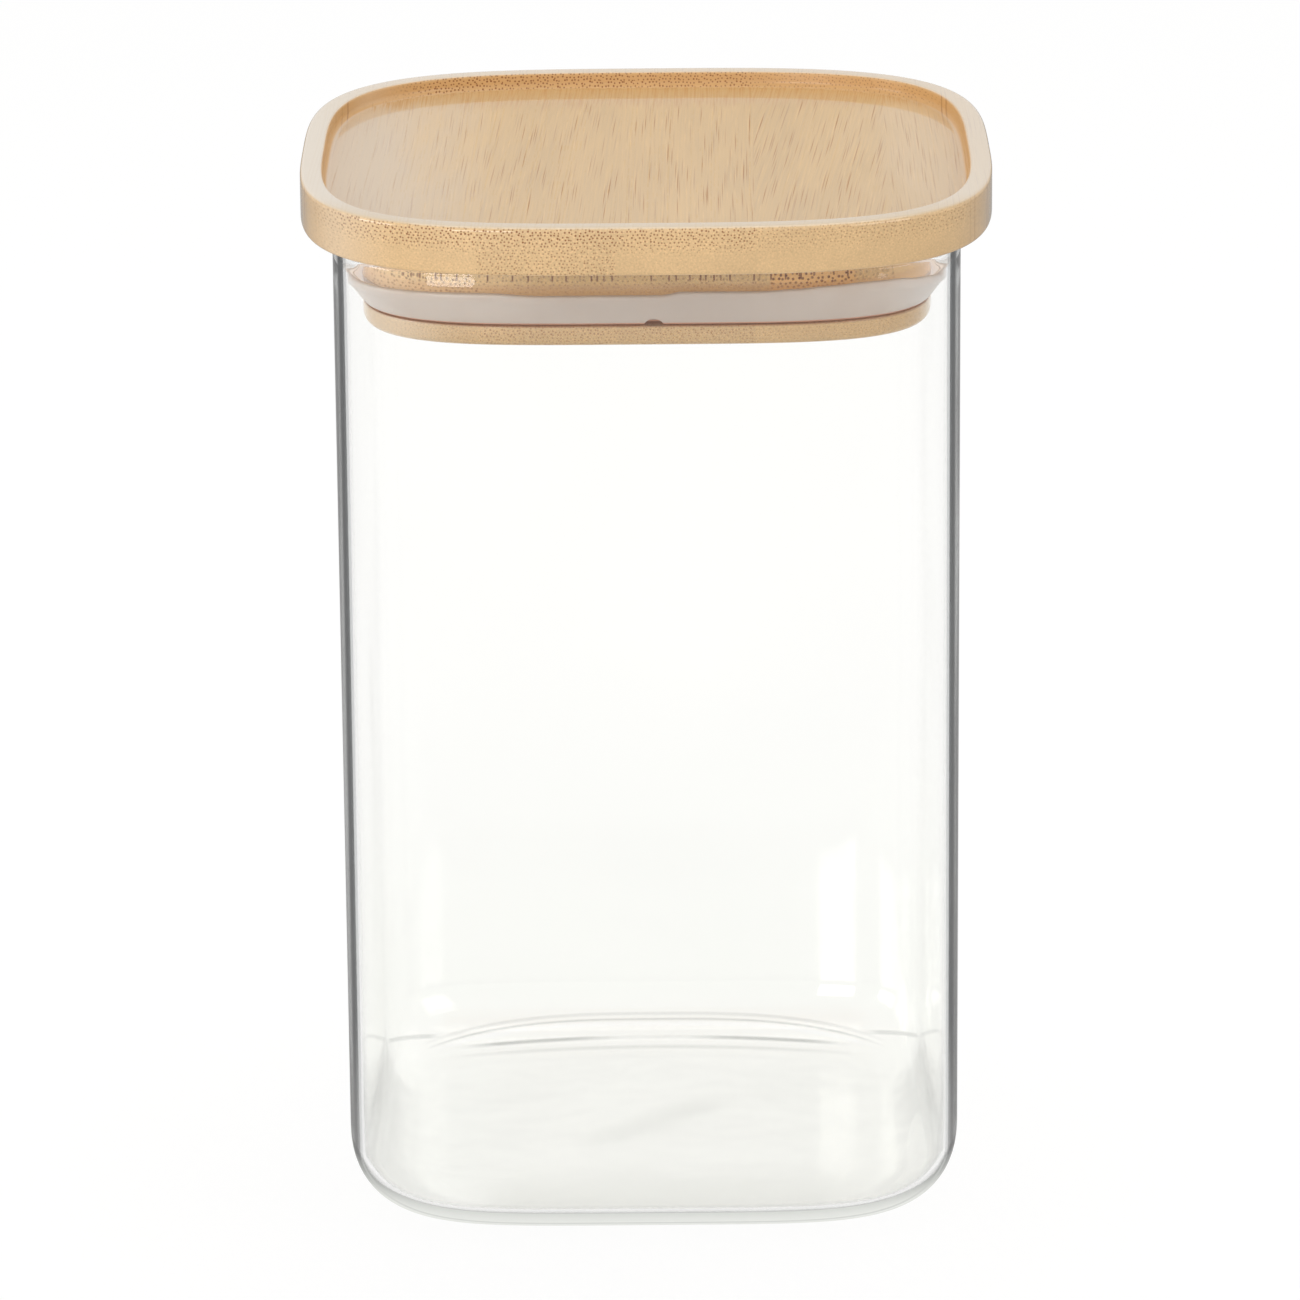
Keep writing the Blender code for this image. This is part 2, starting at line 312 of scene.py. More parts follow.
def make_seal():
    """The silicone hoop. Along the front its lip stands unevenly against the glass."""
    web = GROOVE_DEPTH - RING_GAP
    tip = LIP_THICKNESS / 2
    steps = 10

    def between(share, glass_inset, z, moved):
        """A ring at a share of the way from the flange's outline to the inside of the glass."""
        ring = []
        for (ax, ay, _, _), (gx, gy, gnx, gny) in zip(FLANGE, GLASS):
            inset = GLASS_WALL + glass_inset
            bx, by = gx - gnx * inset, gy - gny * inset
            level = lip_level(gx) * ease((-gy - 30 * MM) / (10 * MM)) if gy < 0 else 0.0
            ring.append(Vector((ax + (bx - ax) * share, ay + (by - ay) * share, z + level * moved)))
        return ring

    rings = [inset_ring(FLANGE, web, RING_BOTTOM)]
    for i in range(steps + 1):
        share = i / steps
        z = RING_BOTTOM + LIP_FLARE_RISE * share ** LIP_CURVE
        rings.append(between(share, LIP_GAP, z, share * LIP_FOLLOW))
    for inset, z in arc(tip, RING_BOTTOM + LIP_RISE - tip, tip, 0, 180, 10):
        rings.append(between(1.0, LIP_GAP + inset, z, 1.0))
    rise = LIP_FLARE_RISE + LIP_THICKNESS - LIP_ROOT_HEIGHT
    for i in range(1, steps + 1):
        share = 1 - i / steps
        z = RING_BOTTOM + LIP_ROOT_HEIGHT + rise * share ** LIP_CURVE
        rings.append(between(share, LIP_GAP + LIP_THICKNESS, z, share * LIP_FOLLOW))
    rings.append(inset_ring(FLANGE, 0.0, RING_TOP))
    rings.append(inset_ring(FLANGE, web, RING_TOP))
    piece = skin("silicone_seal", rings, True, "lid", "lid_seal", 50)

    # The mould notch in the lower edge at the front
    bpy.ops.mesh.primitive_cylinder_add(
        vertices=64, radius=NOTCH_RADIUS, depth=NOTCH_LENGTH, rotation=(math.pi / 2, 0, 0),
        location=(NOTCH_X, -FLANGE_HALF + 1.6 * MM - NOTCH_LENGTH / 2, RING_BOTTOM - 0.6 * MM))
    cutter = bpy.context.object
    cut = piece.modifiers.new("notch", "BOOLEAN")
    cut.operation = "DIFFERENCE"
    cut.object = cutter
    graph = bpy.context.evaluated_depsgraph_get()
    mesh = bpy.data.meshes.new_from_object(piece.evaluated_get(graph))
    piece.modifiers.clear()
    piece.data = mesh
    bpy.data.objects.remove(cutter, do_unlink=True)
    mesh.shade_smooth()
    mesh.set_sharp_from_angle(angle=math.radians(50))
    return piece


# Materials
def linear(rgb):
    """A colour of 0 to 255 a channel as the linear colour that shaders take."""
    out = []
    for c in rgb:
        v = c / 255
        out.append(v / 12.92 if v <= 0.04045 else ((v + 0.055) / 1.055) ** 2.4)
    return (*out, 1.0)


class Graph:
    """Short ways to add nodes to a material. Colours given as tuples are 0 to 255 a channel."""

    def __init__(self, name):
        self.material = bpy.data.materials.new(name)
        self.material.use_nodes = True
        self.tree = self.material.node_tree
        self.shader = self.tree.nodes["Principled BSDF"]
        self.output = self.tree.nodes["Material Output"]

    def node(self, kind, **settings):
        made = self.tree.nodes.new(kind)
        for key, value in settings.items():
            setattr(made, key, value)
        return made

    def put(self, socket, value):
        if isinstance(value, bpy.types.NodeSocket):
            self.tree.links.new(value, socket)
        elif value is not None:
            socket.default_value = value

    def math(self, operation, a, b=None, clamp=False):
        made = self.node("ShaderNodeMath", operation=operation, use_clamp=clamp)
        for socket, value in zip(made.inputs, (a, b)):
            self.put(socket, value)
        return made.outputs[0]

    def add(self, *values):
        total = values[0]
        for value in values[1:]:
            total = self.math("ADD", total, value)
        return total

    def minus(self, a, b):
        return self.math("SUBTRACT", a, b)

    def times(self, *values):
        product = values[0]
        for value in values[1:]:
            product = self.math("MULTIPLY", product, value)
        return product

    def over(self, a, b):
        return self.math("DIVIDE", a, b)

    def most(self, a, b):
        return self.math("MAXIMUM", a, b)

    def size(self, a):
        return self.math("ABSOLUTE", a)

    def swing(self, value, amount):
        """A noise of 0 to 1 as a swing about 0."""
        return self.times(self.minus(value, 0.5), amount)

    def step(self, value, low, high, out_low=0.0, out_high=1.0):
        """A soft step from out_low where value is low to out_high where it is high."""
        made = self.node("ShaderNodeMapRange", interpolation_type="SMOOTHSTEP")
        keys = ("Value", "From Min", "From Max", "To Min", "To Max")
        for key, v in zip(keys, (value, low, high, out_low, out_high)):
            self.put(made.inputs[key], v)
        return made.outputs[0]

    def mix(self, factor, a, b):
        made = self.node("ShaderNodeMix", data_type="RGBA")
        self.put(made.inputs["Factor"], factor)
        self.put(made.inputs[6], linear(a) if isinstance(a, tuple) else a)
        self.put(made.inputs[7], linear(b) if isinstance(b, tuple) else b)
        return made.outputs[2]

    def vector(self, x, y, z=0.0):
        made = self.node("ShaderNodeCombineXYZ")
        for socket, value in zip(made.inputs, (x, y, z)):
            self.put(socket, value)
        return made.outputs[0]

    def split(self, vector):
        made = self.node("ShaderNodeSeparateXYZ")
        self.put(made.inputs[0], vector)
        return made.outputs

    def channels(self, colour):
        made = self.node("ShaderNodeSeparateColor")
        self.put(made.inputs[0], colour)
        return made.outputs

    def noise(self, vector, scale=1.0, detail=2.0, roughness=0.5):
        made = self.node("ShaderNodeTexNoise")
        self.put(made.inputs["Vector"], vector)
        self.put(made.inputs["Scale"], scale)
        self.put(made.inputs["Detail"], detail)
        self.put(made.inputs["Roughness"], roughness)
        return made.outputs["Fac"]

    def cells(self, vector, randomness=1.0):
        """Cells in a plane, one unit wide, each round a point of its own."""
        made = self.node("ShaderNodeTexVoronoi", voronoi_dimensions="2D")
        self.put(made.inputs["Vector"], vector)
        self.put(made.inputs["Scale"], 1.0)
        self.put(made.inputs["Randomness"], randomness)
        return made.outputs

    def facing(self, normal=None):
        """0 where a surface faces the view, 1 where it is seen edge on."""
        made = self.node("ShaderNodeLayerWeight")
        made.inputs["Blend"].default_value = 0.5
        self.put(made.inputs["Normal"], normal)
        return made.outputs["Facing"]

    def bump(self, height, strength, distance):
        made = self.node("ShaderNodeBump")
        made.inputs["Strength"].default_value = strength
        made.inputs["Distance"].default_value = distance
        self.put(made.inputs["Height"], height)
        self.put(self.shader.inputs["Normal"], made.outputs[0])

    def blend(self, factor, first, second):
        """Two shaders mixed."""
        made = self.node("ShaderNodeMixShader")
        for socket, value in zip(made.inputs, (factor, first.outputs[0], second.outputs[0])):
            self.put(socket, value)
        return made


# The strips that a bamboo board is glued up from, and the rows of a lattice of equal triangles
STRIP_WIDTH = 20.5 * MM
STRIP_START = -65.5 * MM
STRIP_SLANT = 0.01
LATTICE_ROW = 0.8660254


def bamboo(name, end_colour, long_colour, dot_colour, top, depth, cell, strips, seed, board=False,
           neck=False, painted_light_left=0.0, pale_from=-36 * MM, shaded_edge=None):
    """Strips of bamboo, fibres front to back. The ends of the fibre bundles show as dots on faces across the
    fibres, dense under the strip's outer skin and fading below it, and as long streaks on faces along them.
    top is the height of the skin side, depth how far down the bundles fade, cell their spacing, and strips
    the strength of the dots near the skin and far below it, and the lean of the fibres, for each strip from
    left to right. painted_light_left is a painted light from the left, which paints a face across the fibres
    paler to the left of pale_from, and seam is the height of an upper edge that is painted darker, as shade
    under the seal."""
    g = Graph(name)
    place = g.node("ShaderNodeTexCoord")
    here = place.outputs["Object"]
    x, y, z = g.split(here)
    normal_x, normal_y, normal_z = g.split(place.outputs["Normal"])
    across = g.step(g.size(normal_y), 0.2, 0.6)
    along = g.minus(1.0, across)

    # Which strip this is, and its traits
    from_left = g.minus(g.minus(x, g.times(y, STRIP_SLANT)), STRIP_START)
    strip = g.math("FLOOR", g.over(from_left, STRIP_WIDTH))
    traits = g.node("ShaderNodeValToRGB")
    traits.color_ramp.interpolation = "CONSTANT"
    elements = traits.color_ramp.elements
    while len(elements) > 1:
        elements.remove(elements[-1])
    for i, (near, far, lean) in enumerate(strips):
        element = elements[0] if i == 0 else elements.new(i / len(strips))
        element.position = i / len(strips)
        element.color = (near, far, lean, 1)
    g.put(traits.inputs[0], g.over(g.add(strip, 0.5), len(strips)))
    near, far, lean = g.channels(traits.outputs[0])
    dice = g.node("ShaderNodeTexWhiteNoise", noise_dimensions="1D")
    g.put(dice.inputs["W"], g.add(strip, seed))
    throw_shift, throw_tone, _ = g.channels(dice.outputs["Color"])

    # u runs across the fibres, which lean and wander, and lift up the ends of the bundles
    wander = g.noise(g.vector(g.times(x, 12.0), g.times(y, 16.0), seed), 1.0, 1.0)
    u = g.add(g.minus(x, g.times(y, lean)), g.swing(wander, 1.4 * MM))
    lift = g.add(z, g.swing(g.noise(here, 260.0, 1.0), 0.5 * MM))

    # Dots on a loose lattice of equal triangles, each with its own size and fullness
    deep = g.math("DIVIDE", g.minus(top, z), depth, clamp=True)
    strength = g.most(g.times(near, g.step(deep, 0.3, 0.85, 1.0, 0.0)), far)
    shift = g.math("FLOOR", g.times(throw_shift, 31.0))
    row = g.over(lift, cell * LATTICE_ROW)
    column = g.minus(g.add(g.over(u, cell), shift), g.times(row, 0.5))
    dot = g.cells(g.vector(column, row), 0.65)
    dot_column, dot_row, _ = g.split(dot["Position"])
    off_row = g.minus(row, dot_row)
    off_column = g.add(g.minus(column, dot_column), g.times(off_row, 0.5))
    off_row = g.times(off_row, LATTICE_ROW)
    away = g.math("SQRT", g.add(g.times(off_row, off_row), g.times(off_column, off_column)))
    lot_fullness, lot_size, _ = g.channels(dot["Color"])
    size = g.add(0.11, g.times(lot_size, 0.05))
    size = g.times(size, g.add(0.8, g.times(strength, 0.8 if neck else 0.55)))
    fullness = g.times(g.add(0.7, g.times(lot_fullness, 0.3)), strength)
    dots = g.times(g.step(away, g.minus(size, 0.05), g.add(size, 0.13), 1.0, 0.0), fullness)
    if neck:
        rich = g.times(g.step(x, 18.0 * MM, 18.6 * MM), g.step(x, 31.5 * MM, 30.0 * MM))
        dots = g.times(dots, g.most(rich, g.step(x, 16.2 * MM, 16.6 * MM, 1.0, 0.35)))
    speck_cell = 0.8 * cell
    speck = g.cells(g.vector(g.add(g.over(u, speck_cell), 9.7), g.over(lift, speck_cell)))
    glints = g.times(g.step(speck["Distance"], 0.10, 0.36, 1.0, 0.0),
                     g.math("ADD", 0.35, strength, clamp=True))

    def spindles(width, length, offset, least, thick=0.3):
        """Slender streaks, each in its own long cell. Cells whose lot is under least have none."""
        made = g.cells(g.vector(g.add(g.over(u, width), offset), g.over(y, length)))
        lot = g.channels(made["Color"])[0]
        return g.times(g.step(made["Distance"], 0.04, thick, 1.0, 0.0), g.step(lot, least, 1.0))

    # Dark streaks, and pale ones beside them, which are painted highlights
    streaks = g.most(spindles(0.36 * MM, 32 * MM, seed, 0.2),
                     spindles(0.9 * MM, 70 * MM, seed + 7.3, 0.3, 0.15))
    pale = g.most(spindles(0.9 * MM, 62 * MM, seed + 7.3 + 0.25, 0.3, 0.19),
                  spindles(0.6 * MM, 15 * MM, seed + 3.1, 0.4))
    threads = g.noise(g.vector(g.times(u, 3200.0), g.times(y, 45.0), g.times(z, 3200.0)), 1.0, 2.0, 0.6)
    clouds = g.noise(g.vector(g.times(u, 110.0), g.times(y, 22.0), g.times(z, 160.0)), 1.0, 3.0, 0.55)
    grain = g.noise(here, 4200.0, 1.0)

    # The ground colour with its light and dark variation
    if board:
        long_colour = g.mix(g.step(g.size(normal_z), 0.3, 0.8), (208, 172, 122), long_colour)
    ground = g.mix(across, long_colour, end_colour)
    tone = g.add(
        g.swing(clouds, 0.28), g.swing(throw_tone, 0.10), g.swing(threads, 0.32),
        g.swing(grain, g.times(across, 0.2)), g.times(glints, g.times(across, 0.16)),
        g.times(pale, g.times(along, 0.10)), 1.0)
    tinted = g.node("ShaderNodeVectorMath", operation="SCALE")
    g.put(tinted.inputs[0], ground)
    g.put(tinted.inputs["Scale"], tone)
    colour = tinted.outputs[0]

    # The tray's wall, painted darker and more orange as painted shade and bounced light inside the tray, and
    # the neck's richer strip, then the dots and streaks
    if board:
        inward = g.add(g.times(normal_x, x), g.times(normal_y, y))
        wall = g.times(g.step(inward, -2 * MM, -20 * MM),
                       g.step(z, TRAY_FLOOR - 0.1 * MM, TRAY_FLOOR + 0.2 * MM))
        colour = g.mix(g.times(wall, 0.75), colour, (204, 156, 94))
        dots = g.times(dots, g.minus(1.0, g.times(wall, g.step(x, -32 * MM, -42 * MM))))
    if neck:
        colour = g.mix(g.times(rich, 0.6), colour, (230, 170, 84))
    ends = g.times(dots, across)
    colour = g.mix(ends, colour, dot_colour)
    colour = g.mix(g.times(streaks, g.times(along, 0.72)), colour, (150, 88, 12))

    # Under the board the neck has a row of painted dark dashes, for its dots seen stretched through the
    # glass's rim, and painted shade that grows darker towards the lip
    if neck:
        colour = g.mix(g.step(z, PLUG_TOP - 2.4 * MM, PLUG_TOP - 3.2 * MM, 0.0, 0.5), colour, (174, 126, 78))
        mark = g.node("ShaderNodeTexVoronoi", voronoi_dimensions="1D")
        g.put(mark.inputs["W"], g.over(x, 1.15 * MM))
        g.put(mark.inputs["Scale"], 1.0)
        dashes = g.times(
            g.step(mark.outputs["Distance"], 0.07, 0.16, 1.0, 0.0),
            g.step(g.channels(mark.outputs["Color"])[0], 0.35, 0.6),
            g.step(z, PLUG_TOP - 2.5 * MM, PLUG_TOP - 2.1 * MM),
            g.step(x, 31 * MM, 33 * MM, 1.0, 0.15))
        colour = g.mix(g.times(dashes, 0.85), colour, (112, 58, 14))

    # Painted sheen on the board's pale rim and on the sides of the tray's floor, and painted shade along its
    # back wall
    if board:
        diagonal = g.minus(g.times(x, -1.0), y)
        rim = g.times(
            g.step(z, BOARD_TOP - 0.5 * MM, BOARD_TOP - 0.1 * MM), g.step(normal_z, 0.5, 0.95),
            g.step(diagonal, -60 * MM, 50 * MM, 0.6, 0.9))
        front = g.times(g.step(y, -30 * MM, -44 * MM), 0.6)
        colour = g.mix(rim, colour, g.mix(front, (224, 211, 192), (204, 176, 130)))
        floor = g.times(g.step(normal_z, 0.7, 0.98),
                        g.step(z, TRAY_FLOOR + 0.3 * MM, TRAY_FLOOR + 0.1 * MM))
        # Painted sheen: the tray's floor is painted paler to the left and right
        ragged = g.add(x, g.swing(clouds, 20 * MM))
        side = g.add(g.step(ragged, -18 * MM, -44 * MM, 0.0, 0.62),
                     g.step(ragged, 30 * MM, 46 * MM, 0.0, 0.3))
        colour = g.mix(g.times(floor, side), colour, (211, 194, 174))
        # Painted shade, and a painted reflection of the wall, on the floor along the back wall, with a
        # ragged edge
        back_shade_reach = g.add(y, g.swing(threads, 14 * MM))
        shaded = g.times(floor, g.step(back_shade_reach, 34 * MM, 42 * MM, 0.0, 0.8))
        colour = g.mix(shaded, colour, (206, 170, 118))
        colour = g.mix(g.times(shaded, g.step(threads, 0.44, 0.62, 0.0, 0.7)), colour, (190, 136, 74))
    # Painted shade along the upper edge, under the seal
    if shaded_edge is not None:
        colour = g.mix(g.step(z, shaded_edge - 0.32 * MM, shaded_edge - 0.12 * MM, 0.0, 0.6), colour, (140, 92, 54))
    # Painted light from the left: faces across the fibres are painted paler towards the left end
    if painted_light_left:
        painted_light_share = g.times(across, g.step(x, pale_from, pale_from - 12 * MM, 0.0, painted_light_left))
        colour = g.mix(painted_light_share, colour, (236, 222, 204))
    g.put(g.shader.inputs["Base Color"], colour)

    # Varnish, which covers the dark marks less
    rough = g.add(0.42, g.times(dots, 0.2), g.times(threads, 0.12))
    g.put(g.shader.inputs["Roughness"], rough)
    height = g.minus(g.minus(g.times(threads, 0.5), ends), g.times(streaks, along))
    g.bump(height, 0.25, 0.05 * MM)
    dull = ends
    if neck:
        dull = g.most(dull, dashes)
    if board:
        dull = g.most(dull, g.times(wall, 0.8))
        dull = g.most(dull, g.times(floor, 0.45))
        dull = g.most(dull, g.times(streaks, floor))
    g.put(g.shader.inputs["Coat Weight"], g.math("SUBTRACT", 1.0, dull, clamp=True))
    g.shader.inputs["Coat Roughness"].default_value = 0.06

    # Light that the corners of the glass throw on the ends of the neck
    if neck:
        g.put(g.shader.inputs["Emission Color"], g.mix(0.6, colour, (192, 198, 182)))
        glow = g.most(g.step(x, -12 * MM, -36 * MM, 0.0, 0.36),
                      g.step(x, 28 * MM, 42 * MM, 0.0, 0.36))
        g.put(g.shader.inputs["Emission Strength"], g.times(glow, g.minus(1.0, dull)))
    return g.material


# Soft lines painted on the inside for what the bend from the floor to the back wall shows: rise of the line,
# its height and half width in mm, its strength and shade, and how far it spreads
BEND_LINES = (
    ("arched", 18.5, 0.42, 0.6, (190, 190, 188), "even"),
    ("arched", 17.55, 0.28, 0.85, (186, 186, 184), "even"),
    ("arched", 16.8, 0.5, 1.0, (255, 255, 255), "even"),
    ("bowed", 14.65, 0.42, 1.0, (146, 146, 144), "patchy"),
    ("bowed", 13.2, 0.42, 0.7, (190, 190, 186), "even"))


def glass_inside(g, x, y, z, colour):
    """The floor's faint pool and smear, painted shade and painted reflections of lamps on the floor, and the
    painted lines of the bend behind it.
    """
    # Painted a little dimmer towards the floor
    colour = g.mix(g.step(z, 85 * MM, 14 * MM), colour, (249, 250, 246))
    pool = g.noise(g.vector(g.times(x, 28.0), g.times(y, 46.0), 3.0), 1.0, 2.0)
    floor_colour = g.mix(g.step(pool, 0.35, 0.65), (254, 253, 250), (249, 248, 245))
    # Painted shade on the front of the floor, and paler painted reflections of lamps to its left and right
    floor_colour = g.mix(g.step(y, -15 * MM, -38 * MM, 0.0, 0.65), floor_colour, (208, 208, 202))
    floor_colour = g.mix(g.step(x, -20 * MM, -32 * MM, 0.0, 0.8), floor_colour, (255, 255, 252))
    floor_colour = g.mix(g.step(x, 24 * MM, 36 * MM, 0.0, 0.4), floor_colour, (255, 254, 250))
    smear_side = g.add(g.times(x, 0.67), g.times(y, -0.74))
    smear_length = g.add(g.times(x, 0.74), g.times(y, 0.67))
    smear = g.times(g.step(g.size(smear_side), 5.5 * MM, 0.5 * MM),
                    g.step(g.size(smear_length), 19 * MM, 8 * MM, 0.0, 0.6))
    floor_colour = g.mix(smear, floor_colour, (222, 222, 218))
    colour = g.mix(g.step(z, 9 * MM, 3 * MM), colour, floor_colour)

    aside = g.size(x)
    behind = g.step(y, 28 * MM, 36 * MM)
    level = g.add(z, g.times(y, 0.31))
    rises = {"arched": g.add(level, g.times(g.math("POWER", g.over(aside, 36 * MM), 2.8), 3.85 * MM)),
             "bowed": g.add(level, g.times(x, x, 1.3))}
    spreads = {"even": g.step(aside, 40 * MM, 30 * MM),
               "patchy": g.times(g.step(aside, 4 * MM, 14 * MM, 0.3, 1.0), g.step(aside, 34 * MM, 24 * MM))}
    for rise, height, half, strength, shade, spread in BEND_LINES:
        line = g.step(g.size(g.minus(rises[rise], height * MM)), half * MM, half * 0.2 * MM)
        colour = g.mix(g.times(line, strength, g.times(behind, spreads[spread])), colour, shade)
    line = g.step(g.size(g.minus(level, 15.2 * MM)), 0.5 * MM, 0.15 * MM)
    line = g.times(line, g.times(g.step(y, 18 * MM, 26 * MM), g.step(aside, 34 * MM, 38 * MM)))
    return g.mix(g.times(line, 0.8), colour, (186, 187, 184))


# Painted grey bands on the outside of the glass towards its edge: from, to and shade
EDGE_BANDS = (
    (0.578, 0.592, (182, 184, 184)),
    (0.629, 0.643, (34, 36, 37)),
    (0.65, 0.70, (7, 8, 9)),
    (0.735, 0.82, (190, 192, 192)))
EDGE_LEAN = 0.35


def glass_outside(g, place, z, colour):
    """The colour with painted grey bands where the wall is seen edge on, and how much of the foot shows as a
    thin clear rim, and in which colour: a painted grey, with painted lines along its ridge and its edge. The
    edge is judged by a normal leaned upward, so that the walls stay clear from steeply above."""
    under = g.times(g.split(place.outputs["Normal"])[2], -1.0)
    facing = g.facing()
    side = g.node("ShaderNodeNewGeometry")
    leaned = g.node("ShaderNodeVectorMath", operation="ADD")
    g.put(leaned.inputs[0], side.outputs["Normal"])
    leaned.inputs[1].default_value = (0, 0, EDGE_LEAN)
    upright = g.node("ShaderNodeVectorMath", operation="NORMALIZE")
    g.put(upright.inputs[0], leaned.outputs[0])
    edge_on = g.facing(upright.outputs[0])
    front = g.minus(1.0, side.outputs["Backfacing"])

    past = g.minus(facing, g.step(under, 0.2, 0.62, 0.66, 0.39))
    foot = g.times(g.step(under, 0.02, 0.2), front, g.step(past, 0.0, 0.02))
    # The foot's clear rim is painted grey, darkest where it turns under, with painted lines along its ridge
    # and its edge
    foot_colour = g.mix(g.step(under, 0.1, 0.8), (158, 159, 158), (236, 237, 234))
    ridge = g.step(g.size(g.minus(past, 0.02)), 0.03, 0.01)
    foot_colour = g.mix(g.times(ridge, 0.7), foot_colour, (196, 197, 195))
    rim_line = g.step(g.size(g.minus(facing, 0.75)), 0.05, 0.02)
    foot_colour = g.mix(g.times(rim_line, 0.5), foot_colour, (208, 209, 207))

    # Painted grey bands where the wall is seen edge on, weaker near the foot
    grey = g.times(front, g.step(z, 34 * MM, 12 * MM, 1.0, 0.75), g.step(under, 0.15, 0.4, 1.0, 0.0))
    for low, high, shade in EDGE_BANDS:
        colour = g.mix(g.times(g.step(edge_on, low, high), grey), colour, shade)
    return colour, foot, foot_colour


def glass(name, inner):
    """Clear glass. Where the outside is seen almost edge on, it is painted grey, for light that has gone a
    long way round inside the wall: that draws the jar's outline. The inside is painted a little dimmer on
    the floor, with painted shade and lamp reflections there, and soft lines painted on it stand for what the
    bend up to the back wall shows. Light that lands on other things, and light that has already passed the
    foot's rim, goes straight through."""
    g = Graph(name)
    g.shader.inputs["Transmission Weight"].default_value = 1.0
    g.shader.inputs["IOR"].default_value = 1.47
    place = g.node("ShaderNodeTexCoord")
    here = place.outputs["Object"]
    x, y, z = g.split(here)
    low = g.step(z, 4 * MM, 2.7 * MM) if inner else g.step(z, 0.6 * MM, 0.1 * MM)
    rough = g.add(g.step(g.noise(here, 60.0, 2.0), 0.45, 0.8, 0.0, 0.012), g.times(low, 0.12))
    g.put(g.shader.inputs["Roughness"], rough)
    g.bump(g.times(g.noise(here, 130.0, 1.0), g.step(z, 4 * MM, 2.7 * MM)), 0.22, 0.15 * MM)
    hue = g.noise(here, 25.0, 1.0)
    colour = g.mix(g.step(hue, 0.3, 0.7), (255, 255, 254), (254, 254, 253))
    clear = g.shader
    if inner:
        colour = glass_inside(g, x, y, z, colour)
    else:
        colour, foot, foot_colour = glass_outside(g, place, z, colour)
        thin = g.node("ShaderNodeBsdfTransparent")
        g.put(thin.inputs[0], foot_colour)
        clear = g.blend(foot, g.shader, thin)
    g.put(g.shader.inputs["Base Color"], colour)
    path = g.node("ShaderNodeLightPath")
    through = g.node("ShaderNodeBsdfTransparent")
    through.inputs[0].default_value = (0.97, 0.975, 0.965, 1)
    passed = g.math("GREATER_THAN", path.outputs["Transparent Depth"], 0.5)
    straight = g.most(g.most(path.outputs["Is Shadow Ray"], path.outputs["Is Diffuse Ray"]), passed)
    g.put(g.output.inputs["Surface"], g.blend(straight, clear, through).outputs[0])
    return g.material


def silicone():
    """Milky silicone. Its inward side glows faintly, for the light that the lip lets through, and its foot
    is painted brown, with a faint glow, for the light of the bamboo behind it that comes through. Along the
    front it is painted darker in the middle and paler at the ends, for how the light falls on the lip."""
    g = Graph("silicone")
    place = g.node("ShaderNodeTexCoord")
    here = place.outputs["Object"]
    x, y, z = g.split(here)
    cloud = g.noise(here, 120.0, 3.0)
    fine = g.noise(here, 2500.0, 2.0)
    colour = g.mix(g.step(cloud, 0.3, 0.7), (195, 180, 170), (202, 189, 180))
    # Painted light and shade: darker along the middle of the front, paler at the ends
    middle = g.step(g.size(g.minus(x, 4 * MM)), 6 * MM, 34 * MM, 1.0, 0.0)
    colour = g.mix(g.times(middle, 0.7), colour, (182, 168, 159))
    colour = g.mix(g.times(g.step(g.size(x), 34 * MM, 42 * MM), 0.6), colour, (216, 208, 204))
    # Painted brown foot, with a faint glow, for the bamboo's light coming through
    foot = g.step(z, RING_BOTTOM + 0.36 * MM, RING_BOTTOM + 0.14 * MM)
    colour = g.mix(g.times(foot, 0.7), colour, (150, 92, 58))
    g.put(g.shader.inputs["Base Color"], colour)
    g.put(g.shader.inputs["Roughness"], g.step(fine, 0.2, 0.8, 0.32, 0.46))
    g.shader.inputs["Subsurface Weight"].default_value = 0.3
    g.shader.inputs["Subsurface Radius"].default_value = (1.0, 0.8, 0.65)
    g.shader.inputs["Subsurface Scale"].default_value = 1.2 * MM
    outward = g.node("ShaderNodeVectorMath", operation="NORMALIZE")
    g.put(outward.inputs[0], g.vector(x, y))
    turn = g.node("ShaderNodeVectorMath", operation="DOT_PRODUCT")
    g.put(turn.inputs[0], outward.outputs[0])
    g.put(turn.inputs[1], place.outputs["Normal"])
    glow = g.step(turn.outputs["Value"], 0.1, -0.6, 0.0, 0.7)
    g.put(g.shader.inputs["Emission Color"], g.mix(foot, (206, 202, 198), (168, 108, 70)))
    g.put(g.shader.inputs["Emission Strength"], g.most(glow, g.times(foot, 0.35)))
    g.shader.inputs["IOR"].default_value = 1.41
    g.bump(fine, 0.1, 0.02 * MM)
    return g.material


# Strength of the surroundings: as light, where a surface or the floor mirrors them, and of the
# floor where it is looked at, past the jar or through it
LIT = 0.55
MIRRORED = 0.85
MIRRORED_FLOOR = 0.3
SEEN_PLAIN = 1.03
SEEN_THROUGH = 1.06
FLOOR_HALF = 6.0
FLOOR_DROP = 0.05 * MM


